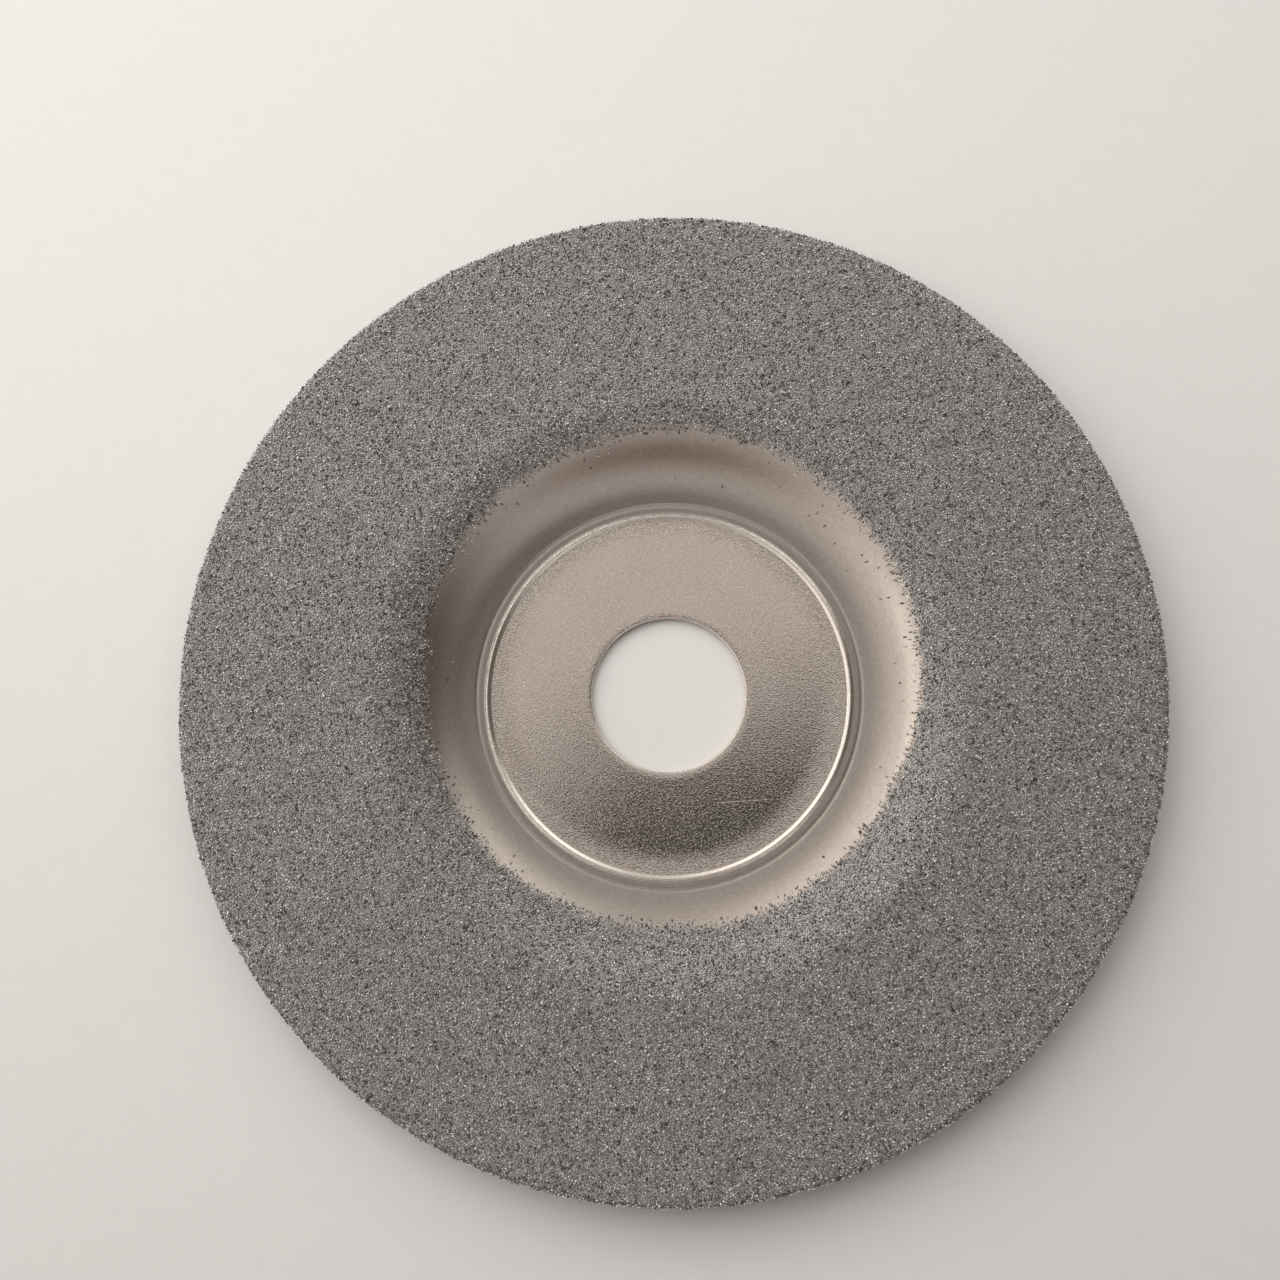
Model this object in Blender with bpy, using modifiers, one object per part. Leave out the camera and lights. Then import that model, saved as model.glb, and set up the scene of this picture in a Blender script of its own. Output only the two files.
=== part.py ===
"""A dished, electroplated diamond grinding wheel, 100 mm across with a 16 mm bore.

A steel sheet is pressed into a shallow dish: a flat hub with a bead round it, a wall, a sloping shoulder and
a flat working ring. Nickel is plated over the shoulder, the ring and the rim, and holds one layer of diamond.

Metres, +Z up. The origin is the centre of the hub's back face, which the wheel lies on, and +Z runs along
the spin axis towards the side with the grit.
"""

import math

import bpy
from mathutils import Matrix, Vector

MM = 0.001

# Driving dimensions of the whole wheel
WHEEL_RADIUS = 50.0 * MM
BORE_RADIUS = 8.0 * MM
SHEET_THICKNESS = 1.0 * MM
DISH_DEPTH = 5.0 * MM  # from the hub's front face to the steel of the working ring

# The coating, from the steel outwards. The layers are turned with the same facets, so a thin gap is enough
# to keep them apart.
LAYER_GAP = 0.05 * MM
BOND_THICKNESS = 0.12 * MM
GRIT_THICKNESS = 0.18 * MM
COATING_THICKNESS = 2 * LAYER_GAP + BOND_THICKNESS + GRIT_THICKNESS
COATING_START_RADIUS = 25.0 * MM
COATING_RIM_MARGIN = 0.1 * MM  # steel left bare at the lower edge of the rim

# The pressed profile, as radii from the spin axis. The wall and the shoulder are two wide arcs, and their
# corners are where the straight lines that they round off would meet.
BLANK_RADIUS = WHEEL_RADIUS - COATING_THICKNESS
BEAD_FOOT_RADIUS = 18.3 * MM
BEAD_CREST_RADIUS = 18.85 * MM
WALL_FOOT_RADIUS = 20.0 * MM
WALL_RADIUS = 23.1 * MM
SHOULDER_RADIUS = 27.3 * MM
CREASE_RADIUS = 30.0 * MM

# Heights above the hub's front face
BEAD_CREST_HEIGHT = 0.43 * MM
WALL_FOOT_HEIGHT = 0.26 * MM
WALL_HEIGHT = 0.98 * MM
SHOULDER_HEIGHT = 4.4 * MM

# Corner radii of the front face
BORE_EDGE_ROUND = 0.4 * MM
BEAD_FOOT_ROUND = 0.8 * MM
BEAD_CREST_ROUND = 0.15 * MM
WALL_FOOT_ROUND = 0.8 * MM
WALL_ROUND = 9.5 * MM
SHOULDER_ROUND = 9.5 * MM
CREASE_ROUND = 0.6 * MM
RIM_ROUND = 0.2 * MM
BACK_FOOT_ROUND = 3.0 * MM  # where the back of the hub turns up into the wall

# Facets
SEGMENTS = 72
ARC_TOLERANCE = 0.02 * MM  # how far an arc's facets may lie from the true arc
MERGE_DISTANCE = 0.001 * MM


def corner(radius, height, rounding=0.0):
    """One corner of a profile: its place in the XZ plane and the radius that it is rounded to."""
    return Vector((radius, height)), rounding


def rounded(corners):
    """The profile's points, with every rounded corner made an arc tangent to the two lines that meet there."""
    places = [place for place, _ in corners]
    points = [places[0]]
    for index in range(1, len(corners) - 1):
        place, rounding = corners[index]
        before = (places[index - 1] - place).normalized()
        after = (places[index + 1] - place).normalized()
        turn = math.pi - before.angle(after)
        if rounding == 0.0:
            points.append(place)
            continue
        setback = rounding * math.tan(turn / 2)
        start = place + before * setback
        centre = place + (before + after).normalized() * rounding / math.cos(turn / 2)
        spoke = start - centre
        turns_right = before.cross(after) > 0
        widest_step = 2 * math.acos(max(0.0, 1 - ARC_TOLERANCE / rounding))
        steps = max(2, math.ceil(turn / widest_step))
        for step in range(steps + 1):
            angle = turn * step / steps
            points.append(centre + Matrix.Rotation(-angle if turns_right else angle, 2) @ spoke)
    points.append(places[-1])
    return points


def left_normals(points):
    """The unit normal to the left of each stretch of a profile."""
    normals = []
    for here, ahead in zip(points, points[1:]):
        along = (ahead - here).normalized()
        normals.append(Vector((-along.y, along.x)))
    return normals


def offset(points, distance):
    """The profile moved to its left by a distance, with its corners mitred."""
    normals = left_normals(points)
    moved = [points[0] + normals[0] * distance]
    for place, before, after in zip(points[1:-1], normals, normals[1:]):
        mitre = (before + after) / (1 + before.dot(after))
        moved.append(place + mitre * distance)
    moved.append(points[-1] + normals[-1] * distance)
    return moved


def pressed_corners():
    """The corners of the front face from the wall's foot to the crease."""
    hub = SHEET_THICKNESS
    return [
        corner(WALL_FOOT_RADIUS, hub + WALL_FOOT_HEIGHT, WALL_FOOT_ROUND),
        corner(WALL_RADIUS, hub + WALL_HEIGHT, WALL_ROUND),
        corner(SHOULDER_RADIUS, hub + SHOULDER_HEIGHT, SHOULDER_ROUND),
        corner(CREASE_RADIUS, hub + DISH_DEPTH, CREASE_ROUND),
    ]


def bead_corners():
    """The corners of the bead that is pressed up round the hub's front face."""
    hub = SHEET_THICKNESS
    return [
        corner(BEAD_FOOT_RADIUS, hub, BEAD_FOOT_ROUND),
        corner(BEAD_CREST_RADIUS, hub + BEAD_CREST_HEIGHT, BEAD_CREST_ROUND),
    ]


def back_corners():
    """The corners of the back face: the front's without the bead, one sheet lower."""
    hub = SHEET_THICKNESS
    wall, shoulder, crease = pressed_corners()[1:]
    foot = Vector((WALL_FOOT_RADIUS, hub))
    ring = Vector((BLANK_RADIUS, hub + DISH_DEPTH))
    front = [Vector((BORE_RADIUS, hub)), foot, wall[0], shoulder[0], crease[0], ring]
    back = offset(front, -SHEET_THICKNESS)
    roundings = (BACK_FOOT_ROUND, WALL_ROUND + SHEET_THICKNESS, SHOULDER_ROUND - SHEET_THICKNESS, 0.0)
    return [corner(place.x, place.y, rounding) for place, rounding in zip(back[1:5], roundings)]


def blank_profile():
    """The closed section of the pressed sheet."""
    ring = SHEET_THICKNESS + DISH_DEPTH
    ring_back = ring - SHEET_THICKNESS
    middle_of_edge = SHEET_THICKNESS / 2
    loop = [corner(BORE_RADIUS, middle_of_edge)]
    loop.append(corner(BORE_RADIUS, SHEET_THICKNESS, BORE_EDGE_ROUND))
    loop.extend(bead_corners())
    loop.extend(pressed_corners())
    loop.append(corner(BLANK_RADIUS, ring, RIM_ROUND))
    loop.append(corner(BLANK_RADIUS, ring_back, RIM_ROUND))
    loop.extend(reversed(back_corners()))
    loop.append(corner(BORE_RADIUS, 0.0))
    loop.append(corner(BORE_RADIUS, middle_of_edge))
    return rounded(loop)[:-1]


def coated_face():
    """The stretch of the steel that is plated: the shoulder, the working ring and the rim."""
    ring = SHEET_THICKNESS + DISH_DEPTH
    corners = pressed_corners()[1:]
    corners.append(corner(BLANK_RADIUS, ring, RIM_ROUND))
    corners.append(corner(BLANK_RADIUS, ring - SHEET_THICKNESS + COATING_RIM_MARGIN))
    return [place for place in rounded(corners) if place.x >= COATING_START_RADIUS]


def layer_profile(inner, outer):
    """The closed section of one layer of the coating, between two distances from the steel."""
    face = coated_face()
    return offset(face, outer) + list(reversed(offset(face, inner)))


def make_material(name, colour, metallic, roughness):
    """A Principled material with one colour."""
    material = bpy.data.materials.new(name)
    material.use_nodes = True
    shader = material.node_tree.nodes["Principled BSDF"]
    shader.inputs["Base Color"].default_value = (*colour, 1.0)
    shader.inputs["Metallic"].default_value = metallic
    shader.inputs["Roughness"].default_value = roughness
    material.diffuse_color = (*colour, 1.0)
    return material


def turned(name, profile, material, collection, parent):
    """A ring turned round the spin axis from a closed section."""
    mesh = bpy.data.meshes.new(name)
    vertices = [(place.x, 0.0, place.y) for place in profile]
    edges = [(index, (index + 1) % len(vertices)) for index in range(len(vertices))]
    mesh.from_pydata(vertices, edges, [])
    mesh.materials.append(material)
    piece = bpy.data.objects.new(name, mesh)
    collection.objects.link(piece)
    piece.parent = parent
    screw = piece.modifiers.new("Turn", "SCREW")
    screw.axis = "Z"
    screw.angle = 2 * math.pi
    screw.steps = SEGMENTS
    screw.render_steps = SEGMENTS
    screw.use_merge_vertices = True
    screw.merge_threshold = MERGE_DISTANCE
    screw.use_smooth_shade = True
    return piece


def make_wheel():
    """The three pieces of the wheel, hung on an empty on the spin axis."""
    for old in list(bpy.data.objects):
        bpy.data.objects.remove(old, do_unlink=True)
    collection = bpy.data.collections.new("diamond_grinding_wheel")
    bpy.context.scene.collection.children.link(collection)
    spin_axis = bpy.data.objects.new("spin_axis", None)
    spin_axis.empty_display_type = "SINGLE_ARROW"
    spin_axis.empty_display_size = WHEEL_RADIUS
    collection.objects.link(spin_axis)

    nickel = make_material("bright_nickel", (0.58, 0.53, 0.48), 1.0, 0.28)
    matrix = make_material("matt_nickel", (0.36, 0.35, 0.34), 1.0, 0.5)
    diamond = make_material("diamond_grit", (0.22, 0.22, 0.22), 0.3, 0.4)

    bond_outside = LAYER_GAP + BOND_THICKNESS
    grit_inside = bond_outside + LAYER_GAP
    turned("steel_blank", blank_profile(), nickel, collection, spin_axis)
    turned("nickel_bond", layer_profile(LAYER_GAP, bond_outside), matrix, collection, spin_axis)
    turned("diamond_grit", layer_profile(grit_inside, COATING_THICKNESS), diamond, collection, spin_axis)


make_wheel()
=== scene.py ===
"""The looks of the dished diamond grinding wheel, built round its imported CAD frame.

Metres, +Z up, the CAD's own frame: the origin is the centre of the hub's back face, and +Z runs along the
spin axis towards the grit. The three pieces of the real wheel are made here in fine mesh: the pressed steel
blank, the nickel bond on its working face, and the crystals, in eight ring-shaped zones so that each mesh
stays small.
"""

import itertools
import math

import bmesh
import bpy
import numpy as np
from mathutils import Matrix, Vector


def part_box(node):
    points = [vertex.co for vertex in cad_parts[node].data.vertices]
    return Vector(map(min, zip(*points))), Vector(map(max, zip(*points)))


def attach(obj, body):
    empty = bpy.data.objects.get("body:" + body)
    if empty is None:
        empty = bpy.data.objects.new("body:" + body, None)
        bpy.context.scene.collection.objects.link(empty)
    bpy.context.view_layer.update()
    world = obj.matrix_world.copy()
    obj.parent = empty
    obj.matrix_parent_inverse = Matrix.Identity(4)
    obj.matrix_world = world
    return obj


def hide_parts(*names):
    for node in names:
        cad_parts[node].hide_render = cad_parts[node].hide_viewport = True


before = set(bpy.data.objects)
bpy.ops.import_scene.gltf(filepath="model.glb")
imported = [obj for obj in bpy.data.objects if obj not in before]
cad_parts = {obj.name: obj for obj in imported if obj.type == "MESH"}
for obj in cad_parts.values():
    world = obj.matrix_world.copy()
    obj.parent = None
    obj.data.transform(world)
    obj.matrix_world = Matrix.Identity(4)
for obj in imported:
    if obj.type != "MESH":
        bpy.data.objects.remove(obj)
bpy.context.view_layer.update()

MM = 0.001

# The blank, from the CAD
BLANK_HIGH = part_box("steel_blank")[1]
WHEEL_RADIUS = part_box("diamond_grit")[1].x
BLANK_RADIUS = BLANK_HIGH.x
RING_HEIGHT = BLANK_HIGH.z
SHEET_THICKNESS = 1.0 * MM
RING_BACK_HEIGHT = RING_HEIGHT - SHEET_THICKNESS
BORE_RADIUS = 8.0 * MM

# Corners of the pressed front face: radius from the spin axis, height, rounding
HUB_EDGE = (16.6 * MM, SHEET_THICKNESS, 22.0 * MM)
BEAD_FOOT = (18.5 * MM, SHEET_THICKNESS + 0.17 * MM, 0.12 * MM)
BEAD_CREST = (18.86 * MM, SHEET_THICKNESS + 0.43 * MM, 0.2 * MM)
BEAD_BACK = (19.2 * MM, SHEET_THICKNESS + 0.24 * MM, 0.12 * MM)
LEDGE = (19.72 * MM, SHEET_THICKNESS + 0.31 * MM, 0.6 * MM)
GROOVE = (20.0 * MM, SHEET_THICKNESS + 0.275 * MM, 0.1 * MM)
WALL_FOOT = (20.26 * MM, SHEET_THICKNESS + 0.37 * MM, 0.3 * MM)
WALL = (23.1 * MM, SHEET_THICKNESS + 0.98 * MM, 9.5 * MM)
SHOULDER = (27.3 * MM, SHEET_THICKNESS + 4.4 * MM, 9.5 * MM)
CREASE = (30.0 * MM, RING_HEIGHT, 0.6 * MM)
BORE_EDGE_ROUND = 0.2 * MM
RIM_ROUND = 0.25 * MM
BACK_EDGE_ROUND = 0.12 * MM
BACK_FOOT_ROUND = 3.0 * MM
BACK_CREASE_ROUND = 0.3 * MM
WAVE_HEIGHT = 0.008 * MM  # of the slowest of the waves in the pressed sheet
WAVE_FADE = 4 * MM  # from the bore to where the waves have their full height
WAVE_TWISTS = (6 * MM, 3 * MM)  # how far out the quicker waves turn by a radian
RIM_TOLERANCE = 0.001 * MM

# The coated face, as lengths along the steel or radii from the spin axis
FACE_START = 21.0 * MM  # where the stretch of steel that can be coated starts
RIM_DROP = 0.9 * MM  # how far the grit runs down the rim's edge
COATING_CENTRE = Vector((0.2 * MM, 1.8 * MM))  # the plating mask sat a little off the spin axis
COATING_RADIUS = 25.4 * MM
COATING_RAGGED = 0.225 * MM  # the size of the waves along the mask's edge

# The nickel bond
BOND_THICKNESS = 0.14 * MM
NODULE_HEIGHT = 0.018 * MM  # the spread of the bond's thickness
BOND_LEAD = 0.3 * MM  # how far inside the mask's edge the skin starts
BOND_GROWTH = 1.0 * MM  # over which the skin reaches its full thickness
BOND_FEATHER = 1.0 * MM  # over which the bond grows from nothing to its full darkness
BARE_LEAD = 0.2 * MM  # how much of the skin's edge looks like bare nickel
EDGE_SINK = 0.03 * MM  # the skin starts just under the steel, so that its edge shows no step
UNDERSIDE = -0.08 * MM  # the skin's hidden side, below the steel's surface
EDGE_WIDTH = 1.2 * MM  # over which the skin's rows are close together

# The grains
GRAIN_SPACING = 0.21 * MM
GRAIN_SIZES = (0.2 * MM, 0.36 * MM)
SMALL_SHARE = 0.15  # grains that are smaller than the rest
SMALL_SCALE = 0.75
GRAIN_REST = 0.08 * MM  # how much higher than others a grain may stand
GRAIN_SHADES = (0.46, 0.5)  # mean and spread, from 0, dark, to 1, pale
PALEST_SHADE = 0.95  # of the grains that don't glint
GLINT_SHARE = 0.04  # grains that mirror the light
CRYSTAL_CORNERS = (6, 6, 7, 8)
CRYSTALS_OF_EACH = 6
CRYSTAL_ROUGHNESS = (0.85, 1.1)  # how near to the middle and how far from it a crystal's corner is
MASK_INNER_RADIUS = 22.5 * MM  # no grain strays further in than this
EDGE_LEAD = 0.25 * MM  # from the mask's edge to where half of the grains have stuck
EDGE_FADE = 0.22 * MM  # how gradually the grains thin out there
STRAY_SHARE = 0.0015  # grains that stuck to the bare wall
THROWS_PER_SPACING = 4.5  # grains thrown for each square of one spacing
ZONE_RADII = (29.4 * MM, 33.6 * MM, 37.4 * MM, 40.8 * MM, 44.0 * MM, 47.0 * MM, 49.6 * MM)
ZONE_NAMES = ("grit_shoulder", *(f"grit_face_{number}" for number in range(1, 7)), "grit_rim")

# Seeds of the random draws
BOND_SEED = 11
SCATTER_SEED = 7
GRAIN_SEED = 23

# Mesh fineness: steps round the axis, rows across, and the longest step along a profile
SEGMENTS = 480
BOND_SEGMENTS = 720
BOND_EDGE_ROWS = 14
BOND_ROWS = 72
BOND_UNDER_ROWS = 12
FRONT_CHORD = 0.25 * MM
BACK_CHORD = 0.5 * MM
FRONT_STEP = 0.7 * MM
BACK_STEP = 1.4 * MM
FACE_STEP = 0.25 * MM
ARC_STEPS = 5  # the fewest in a rounded corner
SCATTER_STEPS = 2000  # along the face, when grains are spread over it by area

# Marks on the hub, real grooves drawn lighter with a painted highlight: two ends in its plane, width, and
# strength from 0 to 1
SCRATCHES = (
    ((5.1 * MM, -11.1 * MM), (10.4 * MM, -10.7 * MM), 0.09 * MM, 0.3),
    ((-12.8 * MM, 4.4 * MM), (-10.9 * MM, 7.5 * MM), 0.08 * MM, 0.12),
    ((9.9 * MM, 7.9 * MM), (14.2 * MM, 5.2 * MM), 0.08 * MM, 0.12),
)

# The nickel's finish
SAND_SIZE = 0.14 * MM
SAND_DEPTH = 0.0135 * MM
FROST_SIZE = 0.2 * MM  # dull specks on the hub
FROST_SHARE = 0.3
CLOUD_SIZE = 6.0 * MM  # slow changes of colour and gloss
STREAK_WIDTH = 0.2 * MM  # drawing marks that run round the wall
STREAKS_PER_RADIAN = 45.0
HUB_RADII = (18.8 * MM, 19.4 * MM)  # where the hub's finish gives way to the wall's
HUB_ROUGHNESS = 0.10
WALL_ROUGHNESS = 0.28
HUB_TINTS = ((0.67, 0.605, 0.555, 1), (0.70, 0.64, 0.59, 1))
WALL_TINTS = ((0.42, 0.381, 0.35, 1), (0.48, 0.439, 0.404, 1))
PIT_TINT = (0.3, 0.27, 0.24, 1)
# the scratches' painted highlight: a lighter colour along each line
SCRATCH_HIGHLIGHT_TINT = (0.95, 0.9, 0.84, 1)
SCRATCH_ROUGHNESS = 0.4
BEAD_POLISH_AND_HIGHLIGHT = (18.55 * MM, 19.15 * MM)  # the bead's crest: smoother, and drawn lighter as a painted highlight
POLISH_AND_HIGHLIGHT_EDGE = 0.1 * MM
POLISH_AND_HIGHLIGHT_PATCH = 0.5 * MM
# a painted highlight: the lighter colour laid on the bead's crest
PAINTED_HIGHLIGHT_TINT = (0.74, 0.71, 0.67, 1)

# The bond's and the grains' finish
NODULE_SIZE = 0.12 * MM
# the bond's own dark colour, darkened further as painted shade between the grains
BOND_TINTS_AND_GAP_SHADE = ((0.04, 0.04, 0.04, 1), (0.5, 0.49, 0.48, 1))
BOND_METAL = 0.5
BOND_ROUGHNESS = 0.5
FLAW_SIZE = 0.1 * MM  # cloudy flaws inside a crystal
GRAIN_TINTS = ((0.06, 0.06, 0.06, 1), (0.95, 0.945, 0.94, 1))
FLAW_TINT = (0.6, 0.6, 0.59, 1)
GRAIN_METAL = 0.6
GLINT_METAL = 0.95
GRAIN_IOR = 1.65

# The studio
FLOOR_RADIUS = 0.8
FLOOR_SEGMENTS = 96
FLOOR_GAP = 0.02 * MM  # between the hub's back and the table
TABLE_TINTS = ((0.78, 0.772, 0.762, 1), (0.81, 0.802, 0.792, 1))
TABLE_GRAIN = 2.0 * MM
TABLE_ROUGHNESS = 0.6
WORLD_COLOUR = (0.72, 0.67, 0.63)
BACKDROP_LEVEL = 0.75
WORLD_SOFTNESS = 0.28  # how much of the world's light falls on dull surfaces
LOBE_CORE = 0.35  # the share of a lobe's width that has its full colour

# Patches of the room that show in the nickel: direction, width and colour, each laid over those before it
WORLD_LOBES = (
    ((-0.05, 0.15, 1.0), 0.75, (0.62, 0.575, 0.54)),  # the ceiling
    ((0.9, 1.0, 0.75), 0.6, (1.45, 1.38, 1.30)),
    ((-1.0, 0.9, 0.45), 0.8, (1.6, 1.48, 1.38)),  # the window
    ((-1.0, -0.2, 0.25), 0.85, (1.2, 1.1, 1.02)),  # the wall beside the window
    ((0.0, -1.0, 0.1), 0.85, (0.27, 0.21, 0.18)),
    ((1.0, 0.0, 0.45), 0.8, (0.16, 0.13, 0.11)),  # the dark side of the room
    ((0.5, 0.0, 1.0), 0.4, (0.14, 0.12, 0.10)),
)
LAMP_COLOUR = (1.0, 0.97, 0.93)

# Lamps: name, place, size, power, and whether they show in the reflections
LAMPS = (
    ("key", (-0.15, 0.11, 0.24), (0.30, 0.30), 0.52, False),
    ("sky", (0.04, 0.19, 0.29), (0.40, 0.40), 0.58, False),
    ("window", (-0.48, 0.04, 0.14), (0.50, 0.10), 0.22, True),
)

# A dark card above the wheel, seen only in its reflections
CARD_CORNERS = ((-0.047, -0.050), (0.050, -0.050), (0.050, 0.015), (-0.006, 0.003), (-0.042, -0.002))
CARD_HEIGHT = 0.200
CARD_TINT = (0.04, 0.04, 0.04, 1)
CARD_ROUGHNESS = 0.8

# The camera: its place, its aim and its upward direction
CAMERA_PLACE = Vector((7.42, -10.6, 145.95)) * MM
CAMERA_AIM = (-0.0509, 0.1258, -0.9907)
CAMERA_UP = (0.0, 0.992, 0.1261)
CAMERA_LENS = 39.32
CAMERA_SENSOR = 36.0
CAMERA_SHIFT = (-0.0220, -0.0153)
CAMERA_NEAREST = 5 * MM


def corner(radius, height, rounding=0.0):
    """One corner of a profile in the XZ plane."""
    return Vector((radius, height)), rounding


def rounded(corners, chord):
    """The profile's points, with each rounded corner made an arc whose facets are about one chord long."""
    places = [place for place, _ in corners]
    points = [places[0]]
    for index in range(1, len(corners) - 1):
        place, rounding = corners[index]
        if rounding == 0.0:
            points.append(place)
            continue
        before = (places[index - 1] - place).normalized()
        after = (places[index + 1] - place).normalized()
        turn = math.pi - before.angle(after)
        start = place + before * rounding * math.tan(turn / 2)
        centre = place + (before + after).normalized() * rounding / math.cos(turn / 2)
        spoke = start - centre
        side = -1 if before.cross(after) > 0 else 1
        steps = max(ARC_STEPS, math.ceil(turn * rounding / chord))
        for step in range(steps + 1):
            points.append(centre + Matrix.Rotation(side * turn * step / steps, 2) @ spoke)
    points.append(places[-1])
    return points


def refined(points, longest):
    """The same profile with its long straight stretches cut into shorter ones."""
    finer = [points[0]]
    for here, ahead in zip(points, points[1:]):
        cuts = max(1, math.ceil((ahead - here).length / longest))
        for cut in range(1, cuts + 1):
            finer.append(here.lerp(ahead, cut / cuts))
    return finer


def back_corners():
    """The back face's corners from the hub out to the crease: the front's, one sheet lower."""
    line = [Vector((BORE_RADIUS, SHEET_THICKNESS)), Vector((WALL_FOOT[0], SHEET_THICKNESS))]
    line += [Vector(place[:2]) for place in (WALL, SHOULDER, CREASE)]
    line.append(Vector((BLANK_RADIUS, RING_HEIGHT)))
    wall_round = WALL[2] + SHEET_THICKNESS
    shoulder_round = SHOULDER[2] - SHEET_THICKNESS
    roundings = (BACK_FOOT_ROUND, wall_round, shoulder_round, BACK_CREASE_ROUND)
    moved_corners = []
    for before, place, after, rounding in zip(line, line[1:], line[2:], roundings):
        first = (place - before).normalized()
        second = (after - place).normalized()
        normals = Vector((-first.y, first.x)) + Vector((-second.y, second.x))
        moved = place - normals / (1 + first.dot(second)) * SHEET_THICKNESS
        moved_corners.append((moved, rounding))
    return moved_corners


def front_profile():
    """The front face of the steel from the bore's edge to the rim."""
    corners = [corner(BORE_RADIUS, SHEET_THICKNESS / 2)]
    corners.append(corner(BORE_RADIUS, SHEET_THICKNESS, BORE_EDGE_ROUND))
    corners += [corner(*place) for place in (HUB_EDGE, BEAD_FOOT, BEAD_CREST, BEAD_BACK)]
    corners += [corner(*place) for place in (LEDGE, GROOVE, WALL_FOOT, WALL, SHOULDER, CREASE)]
    corners.append(corner(BLANK_RADIUS, RING_HEIGHT, RIM_ROUND))
    corners.append(corner(BLANK_RADIUS, RING_HEIGHT - SHEET_THICKNESS / 2))
    return rounded(corners, FRONT_CHORD)


def back_profile():
    """The back face of the steel from the rim in to the bore."""
    corners = [corner(BLANK_RADIUS, RING_HEIGHT - SHEET_THICKNESS / 2)]
    corners.append(corner(BLANK_RADIUS, RING_BACK_HEIGHT, RIM_ROUND))
    corners += reversed(back_corners())
    corners.append(corner(BORE_RADIUS, 0.0, BACK_EDGE_ROUND))
    corners.append(corner(BORE_RADIUS, SHEET_THICKNESS / 2))
    return rounded(corners, BACK_CHORD)


def mesh_from_arrays(name, points, faces):
    """A mesh from an array of points and an array of faces that all have the same number of corners."""
    mesh = bpy.data.meshes.new(name)
    count, corners = faces.shape
    mesh.vertices.add(len(points))
    mesh.vertices.foreach_set("co", np.ascontiguousarray(points, np.float32).ravel())
    mesh.loops.add(count * corners)
    mesh.loops.foreach_set("vertex_index", np.ascontiguousarray(faces, np.int32).ravel())
    mesh.polygons.add(count)
    mesh.polygons.foreach_set("loop_start", np.arange(0, count * corners, corners, dtype=np.int32))
    mesh.update(calc_edges=True)
    return mesh


def grid_faces(rows, columns):
    """Quads between the rows of a grid that closes on itself both ways."""
    row, column = np.meshgrid(np.arange(rows), np.arange(columns), indexing="ij")
    next_row = (row + 1) % rows
    next_column = (column + 1) % columns
    corners = (row * columns + column, row * columns + next_column, next_row * columns + next_column,
               next_row * columns + column)
    return np.stack(corners, axis=-1).reshape(-1, 4)


def piece_from_mesh(name, mesh, material, replaced):
    """A visible piece that rides on the wheel and stands for a CAD node."""
    piece = bpy.data.objects.new(name, mesh)
    mesh.materials.append(material)
    bpy.context.scene.collection.objects.link(piece)
    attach(piece, "root")
    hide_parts(replaced)
    return piece


# The pressed steel blank


def make_blank(material):
    """The pressed sheet: turned, then pushed about a little, as a stamped sheet is."""
    front = refined(front_profile(), FRONT_STEP)
    back = refined(back_profile(), BACK_STEP)
    profile = np.array([tuple(place) for place in front + back[1:-1]])
    angles = np.arange(SEGMENTS) * 2 * math.pi / SEGMENTS
    radius, angle = np.meshgrid(profile[:, 0], angles, indexing="ij")
    height = np.repeat(profile[:, 1:2], SEGMENTS, axis=1)
    height = height + pressing_waves(radius, angle)
    points = np.stack((radius * np.cos(angle), radius * np.sin(angle), height), axis=-1)
    faces = grid_faces(len(profile), SEGMENTS)[:, ::-1]
    mesh = mesh_from_arrays("steel_blank_pressed", points.reshape(-1, 3), faces)
    mesh.shade_smooth()
    return piece_from_mesh("steel_blank_pressed", mesh, material, "steel_blank")


def pressing_waves(radius, angle):
    """The slight waviness of the sheet, which fades to nothing at the bore."""
    away_from_bore = np.clip((radius - BORE_RADIUS) / WAVE_FADE, 0, 1)
    waves = np.sin(2 * angle + 0.7) + 0.6 * np.sin(3 * angle + 2.1 + radius / WAVE_TWISTS[0])
    waves = waves + 0.35 * np.sin(7 * angle + radius / WAVE_TWISTS[1])
    return WAVE_HEIGHT * waves * away_from_bore


# The coated face: where the nickel bond and the grains are


class CoatedFace:
    """The stretch of the steel's front that can be coated, by its length from a start on the wall."""

    def __init__(self):
        points = refined(front_profile(), FACE_STEP)
        on_face = [place for place in points if FACE_START < place.x < BLANK_RADIUS - RIM_TOLERANCE]
        on_face.append(Vector((BLANK_RADIUS, RING_HEIGHT - RIM_ROUND)))
        on_face.append(Vector((BLANK_RADIUS, RING_HEIGHT - RIM_DROP)))
        self.places = np.array([tuple(place) for place in on_face])
        steps = np.linalg.norm(np.diff(self.places, axis=0), axis=1)
        self.lengths = np.concatenate(([0.0], np.cumsum(steps)))
        self.total = self.lengths[-1]
        tangents = np.gradient(self.places, self.lengths, axis=0)
        tangents /= np.linalg.norm(tangents, axis=1, keepdims=True)
        self.normals = np.stack((-tangents[:, 1], tangents[:, 0]), axis=-1)

    def place(self, length, lift):
        """Radius and height of the points a lift above the steel, at these lengths."""
        at = [np.interp(length, self.lengths, self.places[:, axis]) for axis in (0, 1)]
        out = [np.interp(length, self.lengths, self.normals[:, axis]) for axis in (0, 1)]
        return at[0] + out[0] * lift, at[1] + out[1] * lift

    def length_at(self, radius):
        """The length at which the steel has this radius, for radii inside the rim's rounding."""
        return np.interp(radius, self.places[:, 0], self.lengths)


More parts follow.
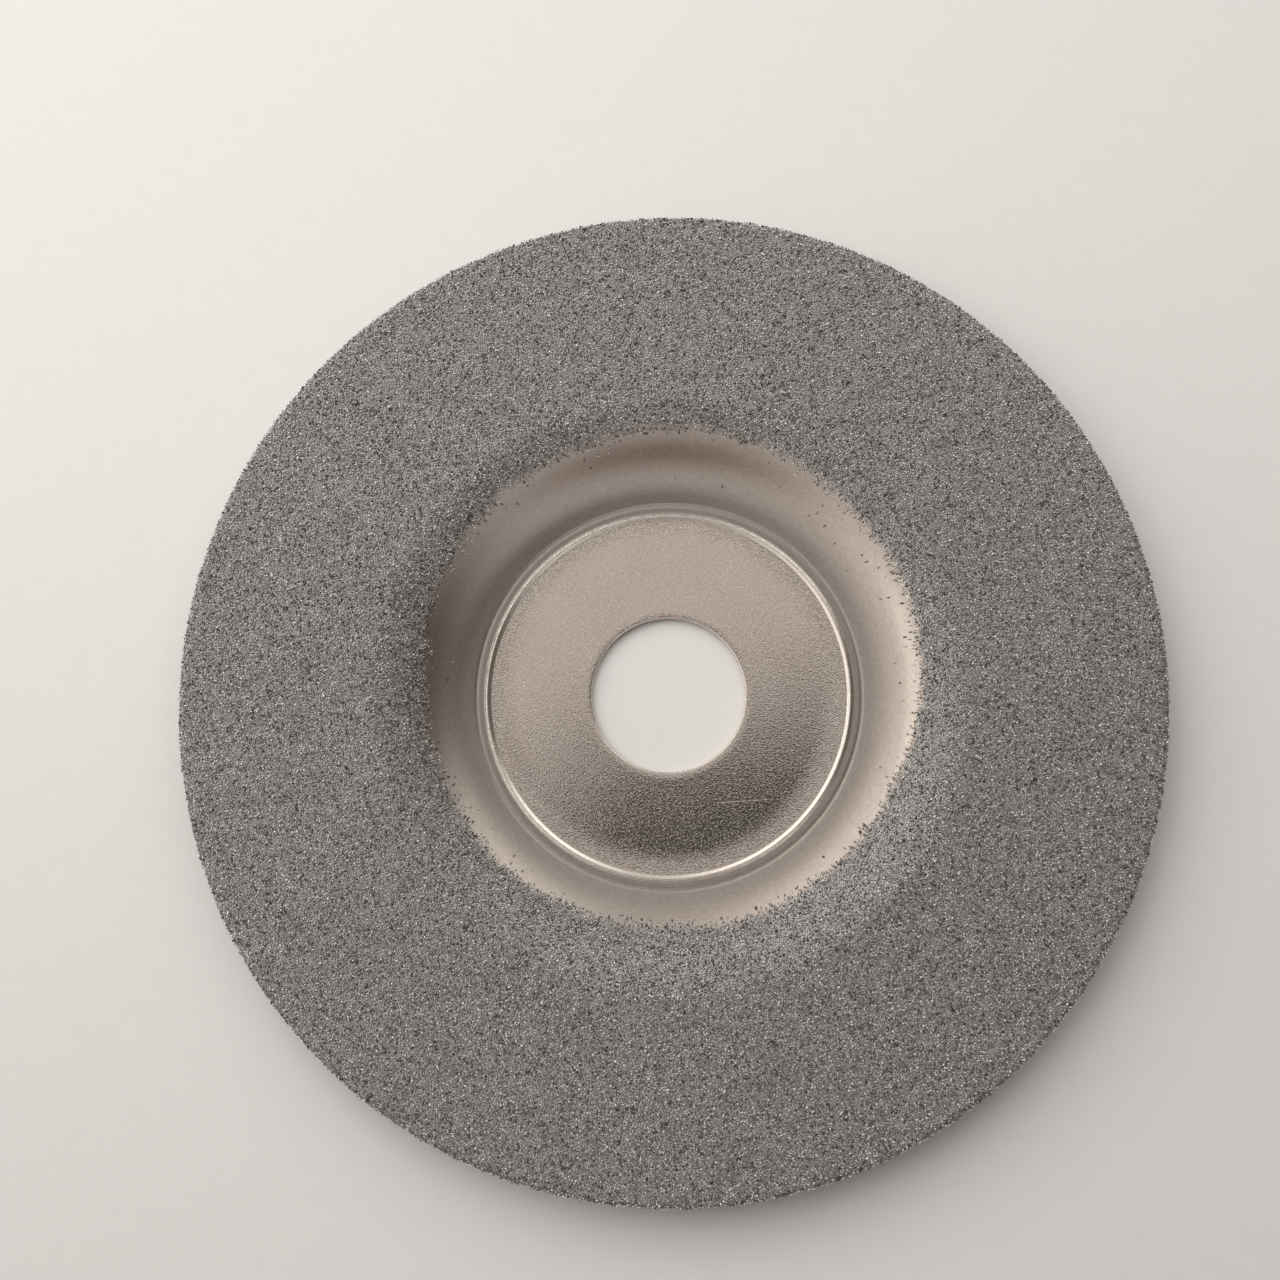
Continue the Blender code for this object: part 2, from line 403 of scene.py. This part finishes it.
def mask_edge(angle):
    """The radius at which the coating starts at an angle: a circle off the axis, with a wandering edge."""
    toward = COATING_CENTRE.x * np.cos(angle) + COATING_CENTRE.y * np.sin(angle)
    across = COATING_CENTRE.x * np.sin(angle) - COATING_CENTRE.y * np.cos(angle)
    circle = toward + np.sqrt(COATING_RADIUS**2 - across**2)
    wander = 0.5 * np.sin(5 * angle + 1.0) + 0.35 * np.sin(11 * angle + 2.6)
    wander = wander + 0.3 * np.sin(23 * angle + 0.4) + 0.25 * np.sin(41 * angle + 3.3)
    return circle + COATING_RAGGED * wander


def make_bond(face, material):
    """The nickel bond: a thin nodular skin over the coated face, feathered out at the mask's edge."""
    angle = np.arange(BOND_SEGMENTS) * 2 * math.pi / BOND_SEGMENTS
    start = face.length_at(mask_edge(angle) - BOND_LEAD)
    near = np.linspace(0, EDGE_WIDTH, BOND_EDGE_ROWS, endpoint=False)[:, None]
    beyond = EDGE_WIDTH + (face.total - start - EDGE_WIDTH) * np.linspace(0, 1, BOND_ROWS)[:, None]
    length = start + np.concatenate((near + 0 * start, beyond))
    rng = np.random.default_rng(BOND_SEED)
    nodules = rng.normal(0.0, NODULE_HEIGHT, length.shape)
    thickness = np.clip((length - start) / BOND_GROWTH, 0, 1) * (BOND_THICKNESS + nodules)
    radius, height = face.place(length, thickness - EDGE_SINK)
    under_share = np.linspace(1, 0, BOND_UNDER_ROWS)[:, None]
    under_length = start + (face.total - start) * under_share
    under_radius, under_height = face.place(under_length, UNDERSIDE)
    radius = np.concatenate((radius, under_radius))
    height = np.concatenate((height, under_height))
    points = np.stack((radius * np.cos(angle), radius * np.sin(angle), height), axis=-1)
    faces = grid_faces(len(points), BOND_SEGMENTS)[:, ::-1]
    mesh = mesh_from_arrays("nickel_bond_skin", points.reshape(-1, 3), faces)
    mesh.shade_smooth()
    cover = np.clip((length - start - BARE_LEAD) / BOND_FEATHER, 0, 1)
    cover = np.concatenate((cover, np.repeat(cover[-1:], BOND_UNDER_ROWS, axis=0)))
    layer = mesh.attributes.new("cover", "FLOAT", "POINT")
    layer.data.foreach_set("value", cover.ravel().astype(np.float32))
    return piece_from_mesh("nickel_bond_skin", mesh, material, "nickel_bond")


# The crystals


def make_crystal(rng, corners):
    """A blocky crystal as a convex hull of points near a sphere: its points and its triangles."""
    shape = bmesh.new()
    for _ in range(corners):
        direction = Vector(rng.normal(size=3)).normalized()
        shape.verts.new(direction * rng.uniform(*CRYSTAL_ROUGHNESS))
    bmesh.ops.convex_hull(shape, input=shape.verts)
    loose = [vert for vert in shape.verts if not vert.link_faces]
    bmesh.ops.delete(shape, geom=loose, context="VERTS")
    bmesh.ops.triangulate(shape, faces=shape.faces)
    bmesh.ops.recalc_face_normals(shape, faces=shape.faces)
    shape.verts.index_update()
    points = np.array([tuple(vert.co) for vert in shape.verts])
    faces = np.array([[vert.index for vert in triangle.verts] for triangle in shape.faces])
    shape.free()
    return points - points.mean(axis=0), faces


def scatter_grains(face):
    """Lengths and angles of the grains: thrown at random, and kept where no earlier grain is too near."""
    rng = np.random.default_rng(SCATTER_SEED)
    first = face.length_at(MASK_INNER_RADIUS)
    count = int(THROWS_PER_SPACING * math.pi * (WHEEL_RADIUS**2 - MASK_INNER_RADIUS**2) / GRAIN_SPACING**2)
    lengths = np.linspace(first, face.total, SCATTER_STEPS)
    weights = np.cumsum(face.place(lengths, 0.0)[0])
    length = np.interp(rng.random(count) * weights[-1], weights, lengths)
    angle = rng.random(count) * 2 * math.pi
    radius, height = face.place(length, BOND_THICKNESS)
    edge = face.length_at(mask_edge(angle))
    kept_share = 1 / (1 + np.exp(-(length - edge - EDGE_LEAD) / EDGE_FADE)) + STRAY_SHARE
    fits = rng.random(count) < kept_share
    length, angle, radius, height = (values[fits] for values in (length, angle, radius, height))
    points = np.stack((radius * np.cos(angle), radius * np.sin(angle), height), axis=-1)
    kept = far_apart(points, GRAIN_SPACING)
    return length[kept], angle[kept]


def far_apart(points, spacing):
    """Indexes of the points that no earlier kept point is nearer to than the spacing."""
    cells = {}
    kept = []
    nearest = spacing * spacing
    cell_of_point = np.floor(points / spacing).astype(int).tolist()
    around = [(x, y, z) for x in (0, -1, 1) for y in (0, -1, 1) for z in (0, -1, 1)]
    for index, (place, cell) in enumerate(zip(points.tolist(), cell_of_point)):
        x, y, z = place
        near = (cells.get((cell[0] + step[0], cell[1] + step[1], cell[2] + step[2]), ()) for step in around)
        others = itertools.chain.from_iterable(near)
        if all((x - a) ** 2 + (y - b) ** 2 + (z - c) ** 2 >= nearest for a, b, c in others):
            cells.setdefault(tuple(cell), []).append(place)
            kept.append(index)
    return kept


def make_grains(face, material):
    """The crystals, partly sunk in the bond, as ring-shaped zones of separate closed grains."""
    rng = np.random.default_rng(GRAIN_SEED)
    crystals = [make_crystal(rng, corners) for corners in CRYSTAL_CORNERS for _ in range(CRYSTALS_OF_EACH)]
    length, angle = scatter_grains(face)
    count = len(length)
    kind = rng.integers(len(crystals), size=count)
    size = rng.uniform(*GRAIN_SIZES, size=count)
    size = size * np.where(rng.random(count) < SMALL_SHARE, SMALL_SCALE, 1.0)
    rest = rng.uniform(0.0, GRAIN_REST, size=count)
    radius, height = face.place(length, BOND_THICKNESS + rest)
    shade = np.clip(rng.normal(*GRAIN_SHADES, size=count), 0, PALEST_SHADE)
    shade[rng.random(count) < GLINT_SHARE] = 1.0
    turns = random_turns(rng, count)
    bounds = np.interp(ZONE_RADII, face.places[:, 0], face.lengths)
    zone = np.searchsorted(bounds, length)
    centre = np.stack((radius * np.cos(angle), radius * np.sin(angle), height), axis=-1)
    for number, name in enumerate(ZONE_NAMES):
        points, faces, shades = [], [], []
        start = 0
        for which, (shape, triangles) in enumerate(crystals):
            chosen = np.flatnonzero((zone == number) & (kind == which))
            turned = np.einsum("nij,pj->npi", turns[chosen], shape) * size[chosen, None, None] / 2
            grains = turned + centre[chosen, None, :]
            offsets = start + len(shape) * np.arange(len(chosen))
            points.append(grains.reshape(-1, 3))
            faces.append((triangles[None] + offsets[:, None, None]).reshape(-1, 3))
            shades.append(np.repeat(shade[chosen], len(shape)))
            start += len(shape) * len(chosen)
        mesh = mesh_from_arrays(name, np.concatenate(points), np.concatenate(faces))
        layer = mesh.attributes.new("shade", "FLOAT", "POINT")
        layer.data.foreach_set("value", np.concatenate(shades).astype(np.float32))
        lay_out_flat(mesh)
        piece_from_mesh(name, mesh, material, "diamond_grit")


def random_turns(rng, count):
    """Rotation matrices spread evenly over all turns."""
    quaternions = rng.normal(size=(count, 4))
    w, x, y, z = (quaternions / np.linalg.norm(quaternions, axis=1, keepdims=True)).T
    rows = ((1 - 2 * (y * y + z * z), 2 * (x * y - z * w), 2 * (x * z + y * w)),
            (2 * (x * y + z * w), 1 - 2 * (x * x + z * z), 2 * (y * z - x * w)),
            (2 * (x * z - y * w), 2 * (y * z + x * w), 1 - 2 * (x * x + y * y)))
    return np.stack([np.stack(row, axis=-1) for row in rows], axis=1)


def lay_out_flat(mesh):
    """A texture layout seen from above, which suits a thin layer of grains."""
    points = np.empty(len(mesh.vertices) * 3, np.float32)
    mesh.vertices.foreach_get("co", points)
    corners = np.empty(len(mesh.loops), np.int32)
    mesh.loops.foreach_get("vertex_index", corners)
    flat = points.reshape(-1, 3)[corners, :2] / (2 * WHEEL_RADIUS) + 0.5
    layer = mesh.uv_layers.new(name="OFBake")
    layer.uv.foreach_set("vector", np.ascontiguousarray(flat, np.float32).ravel())


# Materials


class Nodes:
    """A material's or a world's node tree, with short ways to add and join nodes."""

    def __init__(self, tree):
        self.tree = tree
        self.tree.nodes.clear()

    def add(self, kind, inputs=(), **settings):
        """A new node with these settings; an input is a value or another node's output."""
        node = self.tree.nodes.new("ShaderNode" + kind)
        for name, value in settings.items():
            setattr(node, name, value)
        for key, value in dict(inputs).items():
            if isinstance(value, bpy.types.NodeSocket):
                self.tree.links.new(value, node.inputs[key])
            else:
                node.inputs[key].default_value = value
        return node

    def math(self, operation, *values):
        """The result of a calculation on numbers."""
        return self.add("Math", enumerate(values), operation=operation).outputs[0]

    def vector(self, operation, *values, output=0):
        """The result of a calculation on vectors."""
        return self.add("VectorMath", enumerate(values), operation=operation).outputs[output]

    def scale(self, vector, factor):
        """A vector times a number."""
        return self.add("VectorMath", {0: vector, "Scale": factor}, operation="SCALE").outputs[0]

    def place(self):
        """The point on the object."""
        return self.add("TexCoord").outputs["Object"]

    def noise(self, size, detail, vector=None):
        """Cloudy noise between 0 and 1 with patches of about this size."""
        inputs = {"Vector": vector or self.place(), "Scale": 1 / size, "Detail": detail}
        return self.add("TexNoise", inputs).outputs["Fac"]

    def ramp(self, value, low, high, out_low=0.0, out_high=1.0, smooth=True):
        """The value moved from one range to another, and held at the range's ends."""
        inputs = {"Value": value, "From Min": low, "From Max": high, "To Min": out_low, "To Max": out_high}
        kind = "SMOOTHSTEP" if smooth else "LINEAR"
        return self.add("MapRange", inputs, interpolation_type=kind).outputs["Result"]

    def mix(self, share, first, second):
        """A colour between two others."""
        inputs = {"Factor": share, 6: first, 7: second}
        return self.add("Mix", inputs, data_type="RGBA").outputs[2]

    def blend(self, share, first, second):
        """A number between two others."""
        return self.add("Mix", {"Factor": share, 2: first, 3: second}, data_type="FLOAT").outputs[0]

    def bump(self, height, depth):
        """The surface's normal pushed by a height between 0 and 1 times a depth in metres."""
        return self.add("Bump", {"Height": height, "Distance": depth, "Strength": 1.0}).outputs["Normal"]

    def principled(self, **inputs):
        """The finished shader."""
        named = {name.replace("_", " "): value for name, value in inputs.items()}
        shader = self.add("BsdfPrincipled", named)
        self.add("OutputMaterial", {"Surface": shader.outputs[0]})


def new_material(name):
    """A material and its empty node tree."""
    material = bpy.data.materials.new(name)
    material.use_nodes = True
    return material, Nodes(material.node_tree)


def radius_of_place(nodes):
    """The point's distance from the spin axis."""
    flat = nodes.vector("MULTIPLY", nodes.place(), (1.0, 1.0, 0.0))
    return nodes.vector("LENGTH", flat, output="Value")


def near_line(nodes, start, end, width):
    """1 on a straight line on the hub, down to 0 at half a width from it."""
    along = Vector(end) - Vector(start)
    from_start = nodes.vector("SUBTRACT", nodes.place(), (*start, SHEET_THICKNESS))
    scaled = (*(along / along.length_squared), 0.0)
    share = nodes.vector("DOT_PRODUCT", from_start, scaled, output="Value")
    share = nodes.ramp(share, 0.0, 1.0, smooth=False)
    nearest = nodes.scale((*along, 0.0), share)
    away = nodes.vector("DISTANCE", from_start, nearest, output="Value")
    return nodes.ramp(away, 0.0, width / 2, 1.0, 0.0)


def nickel_look(nodes, radius):
    """The colour, roughness and height of bright nickel over pressed steel, with a painted highlight on the
    bead's crest.
    """
    on_hub = nodes.ramp(radius, *HUB_RADII, 1.0, 0.0)
    pits = nodes.add("TexVoronoi", {"Vector": nodes.place(), "Scale": 1 / SAND_SIZE}).outputs["Distance"]
    dust = nodes.noise(SAND_SIZE, 1.0)
    sand = nodes.math("ADD", nodes.math("MULTIPLY", pits, 0.6), nodes.math("MULTIPLY", dust, 0.5))
    polish_and_highlight = bead_polish_and_highlight(nodes, radius)
    cloud = nodes.noise(CLOUD_SIZE, 2.0)
    streak = nodes.noise(1.0, 3.0, vector=round_the_axis(nodes, radius, STREAK_WIDTH, STREAKS_PER_RADIAN))
    roughness = nodes.ramp(on_hub, 0.0, 1.0, WALL_ROUGHNESS, HUB_ROUGHNESS)
    roughness = nodes.math("ADD", roughness, nodes.math("MULTIPLY", cloud, 0.06))
    roughness = nodes.math("SUBTRACT", roughness, nodes.math("MULTIPLY", polish_and_highlight, 0.05))
    dull = nodes.mix(nodes.ramp(streak, 0.3, 0.7), *WALL_TINTS)
    bright = nodes.mix(nodes.ramp(cloud, 0.3, 0.7), *HUB_TINTS)
    tint = nodes.mix(on_hub, dull, bright)
    tint = nodes.mix(nodes.ramp(sand, 0.5, 0.75, 0.0, 0.12), tint, PIT_TINT)
    # painted highlight: the bead's crest drawn lighter than the metal round it
    tint = nodes.mix(polish_and_highlight, tint, PAINTED_HIGHLIGHT_TINT)
    height = nodes.math("MULTIPLY", sand, nodes.ramp(on_hub, 0.0, 1.0, 0.5, 1.0))
    return tint, roughness, height


def bead_polish_and_highlight(nodes, radius):
    """How smooth the bead's crest is and how strongly its painted highlight shows, which changes from patch
    to patch.
    """
    inner, outer = BEAD_POLISH_AND_HIGHLIGHT
    from_inside = nodes.ramp(radius, inner - POLISH_AND_HIGHLIGHT_EDGE, inner)
    from_outside = nodes.ramp(radius, outer, outer + POLISH_AND_HIGHLIGHT_EDGE, 1.0, 0.0)
    patches = nodes.ramp(nodes.noise(POLISH_AND_HIGHLIGHT_PATCH, 2.0), 0.35, 0.65, 0.45, 1.0)
    return nodes.math("MULTIPLY", nodes.math("MULTIPLY", from_inside, from_outside), patches)


def hub_metal(nodes, radius):
    """How metallic the bare nickel is: fully, but for the fine dull specks on the hub."""
    crest_foot = BEAD_POLISH_AND_HIGHLIGHT[0]
    on_hub = nodes.ramp(radius, crest_foot - 2 * POLISH_AND_HIGHLIGHT_EDGE, crest_foot, 1.0, 0.0)
    frost = nodes.ramp(nodes.noise(FROST_SIZE, 1.0), 0.5, 0.66, 0.0, FROST_SHARE)
    return nodes.math("SUBTRACT", 1.0, nodes.math("MULTIPLY", on_hub, frost))


def round_the_axis(nodes, radius, across, per_radian):
    """A place for noise that is drawn out round the spin axis: fine across the rings, long along them."""
    flat = nodes.vector("MULTIPLY", nodes.place(), (1.0, 1.0, 0.0))
    ring = nodes.scale(nodes.vector("NORMALIZE", flat), per_radian)
    step = nodes.add("CombineXYZ", {"Z": nodes.math("DIVIDE", radius, across)}).outputs[0]
    return nodes.vector("ADD", ring, step)


def polished_nickel():
    """The bare steel: a sandy satin hub, a duller wall, and a few scratches, lightened by a painted
    highlight.
    """
    material, nodes = new_material("nickel_plated_steel")
    radius = radius_of_place(nodes)
    tint, roughness, height = nickel_look(nodes, radius)
    metal = hub_metal(nodes, radius)
    for start, end, width, strength in SCRATCHES:
        mark = near_line(nodes, start, end, width)
        height = nodes.math("SUBTRACT", height, nodes.math("MULTIPLY", mark, strength))
        rougher = nodes.math("MULTIPLY", mark, strength * SCRATCH_ROUGHNESS)
        roughness = nodes.math("ADD", roughness, rougher)
        # painted highlight: the scratch drawn lighter than the nickel round it
        tint = nodes.mix(nodes.math("MULTIPLY", mark, strength), tint, SCRATCH_HIGHLIGHT_TINT)
    normal = nodes.bump(height, SAND_DEPTH)
    nodes.principled(Base_Color=tint, Metallic=metal, Roughness=roughness, Normal=normal)
    return material


def dark_bond():
    """Matt nickel, grown in nodules between the grains, that thins out to bright metal at its edge; its
    dark tones are partly its own colour and partly painted shade between the grains.
    """
    material, nodes = new_material("nodular_nickel")
    bright, bright_roughness, bright_height = nickel_look(nodes, radius_of_place(nodes))
    nodule = nodes.noise(NODULE_SIZE, 2.0)
    cover = nodes.add("Attribute", attribute_name="cover").outputs["Fac"]
    patchy = nodes.math("ADD", cover, nodes.ramp(nodule, 0.3, 0.7, -0.35, 0.35))
    dull = nodes.ramp(patchy, 0.35, 0.75)
    # the bond's colour: partly its own, partly painted shade between the grains
    dark_and_gap_shade = nodes.mix(nodes.ramp(nodule, 0.35, 0.65), *BOND_TINTS_AND_GAP_SHADE)
    tint = nodes.mix(dull, bright, dark_and_gap_shade)
    roughness = nodes.blend(dull, bright_roughness, BOND_ROUGHNESS)
    height = nodes.blend(dull, bright_height, nodule)
    metal = nodes.ramp(dull, 0.0, 1.0, 1.0, BOND_METAL)
    normal = nodes.bump(height, SAND_DEPTH)
    nodes.principled(Base_Color=tint, Metallic=metal, Roughness=roughness, Normal=normal)
    return material


def grey_diamond():
    """Grey crystals in a metallic sheen of nickel: each has its own shade, and a few mirror the light."""
    material, nodes = new_material("grey_diamond_crystals")
    shade = nodes.add("Attribute", attribute_name="shade").outputs["Fac"]
    flaw = nodes.noise(FLAW_SIZE, 2.0)
    tint = nodes.mix(shade, *GRAIN_TINTS)
    tint = nodes.mix(nodes.ramp(flaw, 0.5, 0.75, 0.0, 0.4), tint, FLAW_TINT)
    glinting = (PALEST_SHADE + 0.02, PALEST_SHADE + 0.04)
    metal = nodes.ramp(shade, *glinting, GRAIN_METAL, GLINT_METAL)
    roughness = nodes.ramp(flaw, 0.3, 0.7, 0.25, 0.5)
    nodes.principled(Base_Color=tint, Metallic=metal, Roughness=roughness, IOR=GRAIN_IOR)
    return material


# The floor, the light and the camera


def make_floor():
    """A plain pale table that the hub lies on."""
    shape = bmesh.new()
    bmesh.ops.create_circle(shape, cap_ends=True, segments=FLOOR_SEGMENTS, radius=FLOOR_RADIUS)
    mesh = bpy.data.meshes.new("floor")
    shape.to_mesh(mesh)
    shape.free()
    floor = bpy.data.objects.new("floor", mesh)
    bpy.context.scene.collection.objects.link(floor)
    floor.location.z = -FLOOR_GAP
    material, nodes = new_material("pale_table")
    tint = nodes.mix(nodes.noise(TABLE_GRAIN, 3.0), *TABLE_TINTS)
    nodes.principled(Base_Color=tint, Roughness=TABLE_ROUGHNESS)
    mesh.materials.append(material)


def make_world():
    """A soft studio, bright on the far side and the left, and dark on the near side and the right."""
    world = bpy.data.worlds.new("studio")
    bpy.context.scene.world = world
    world.use_nodes = True
    nodes = Nodes(world.node_tree)
    direction = nodes.add("TexCoord").outputs["Generated"]
    light = nodes.add("RGB").outputs[0]
    light.default_value = (*WORLD_COLOUR, 1)
    for toward, width, colour in WORLD_LOBES:
        aim = Vector(toward).normalized()
        away = nodes.vector("DISTANCE", direction, aim, output="Value")
        light = nodes.mix(nodes.ramp(away, LOBE_CORE * width, width, 1.0, 0.0), light, (*colour, 1))
    path = nodes.add("LightPath")
    light = nodes.mix(path.outputs["Is Camera Ray"], light, (BACKDROP_LEVEL,) * 3 + (1,))
    strength = nodes.ramp(path.outputs["Is Diffuse Ray"], 0.0, 1.0, 1.0, WORLD_SOFTNESS)
    background = nodes.add("Background", {"Color": light, "Strength": strength})
    nodes.add("OutputWorld", {"Surface": background.outputs[0]})


def make_lamp(name, place, size, power, shown_in_gloss):
    """A soft rectangular lamp that points at the wheel."""
    lamp = bpy.data.lights.new(name, "AREA")
    lamp.shape = "RECTANGLE"
    lamp.size, lamp.size_y = size
    lamp.energy = power
    lamp.color = LAMP_COLOUR
    holder = bpy.data.objects.new(name, lamp)
    bpy.context.scene.collection.objects.link(holder)
    holder.visible_camera = False
    holder.visible_glossy = shown_in_gloss
    holder.location = place
    holder.rotation_euler = (-Vector(place)).to_track_quat("-Z", "Y").to_euler()


def make_dark_card():
    """A dark card above the wheel, which only shows as the dark patch in the hub's reflection."""
    mesh = bpy.data.meshes.new("dark_card")
    mesh.from_pydata([(x, y, 0.0) for x, y in CARD_CORNERS], [], [tuple(range(len(CARD_CORNERS)))])
    card = bpy.data.objects.new("dark_card", mesh)
    bpy.context.scene.collection.objects.link(card)
    card.location.z = CARD_HEIGHT
    card.visible_camera = False
    card.visible_shadow = False
    card.visible_diffuse = False
    card.visible_transmission = False
    material, nodes = new_material("dark_card")
    nodes.principled(Base_Color=CARD_TINT, Roughness=CARD_ROUGHNESS)
    mesh.materials.append(material)


def make_camera():
    """The camera, almost straight above the wheel."""
    camera_data = bpy.data.cameras.new("camera")
    camera_data.lens = CAMERA_LENS
    camera_data.sensor_width = CAMERA_SENSOR
    camera_data.clip_start = CAMERA_NEAREST
    camera_data.shift_x, camera_data.shift_y = CAMERA_SHIFT
    camera = bpy.data.objects.new("camera", camera_data)
    bpy.context.scene.collection.objects.link(camera)
    backward = -Vector(CAMERA_AIM).normalized()
    right = Vector(CAMERA_UP).cross(backward).normalized()
    up = backward.cross(right)
    turn = Matrix((right, up, backward)).transposed().to_4x4()
    camera.matrix_world = Matrix.Translation(CAMERA_PLACE) @ turn
    bpy.context.scene.camera = camera


face = CoatedFace()
make_blank(polished_nickel())
make_bond(face, dark_bond())
make_grains(face, grey_diamond())
make_floor()
make_world()
for lamp in LAMPS:
    make_lamp(*lamp)
make_dark_card()
make_camera()
bpy.context.scene.view_settings.view_transform = "Standard"
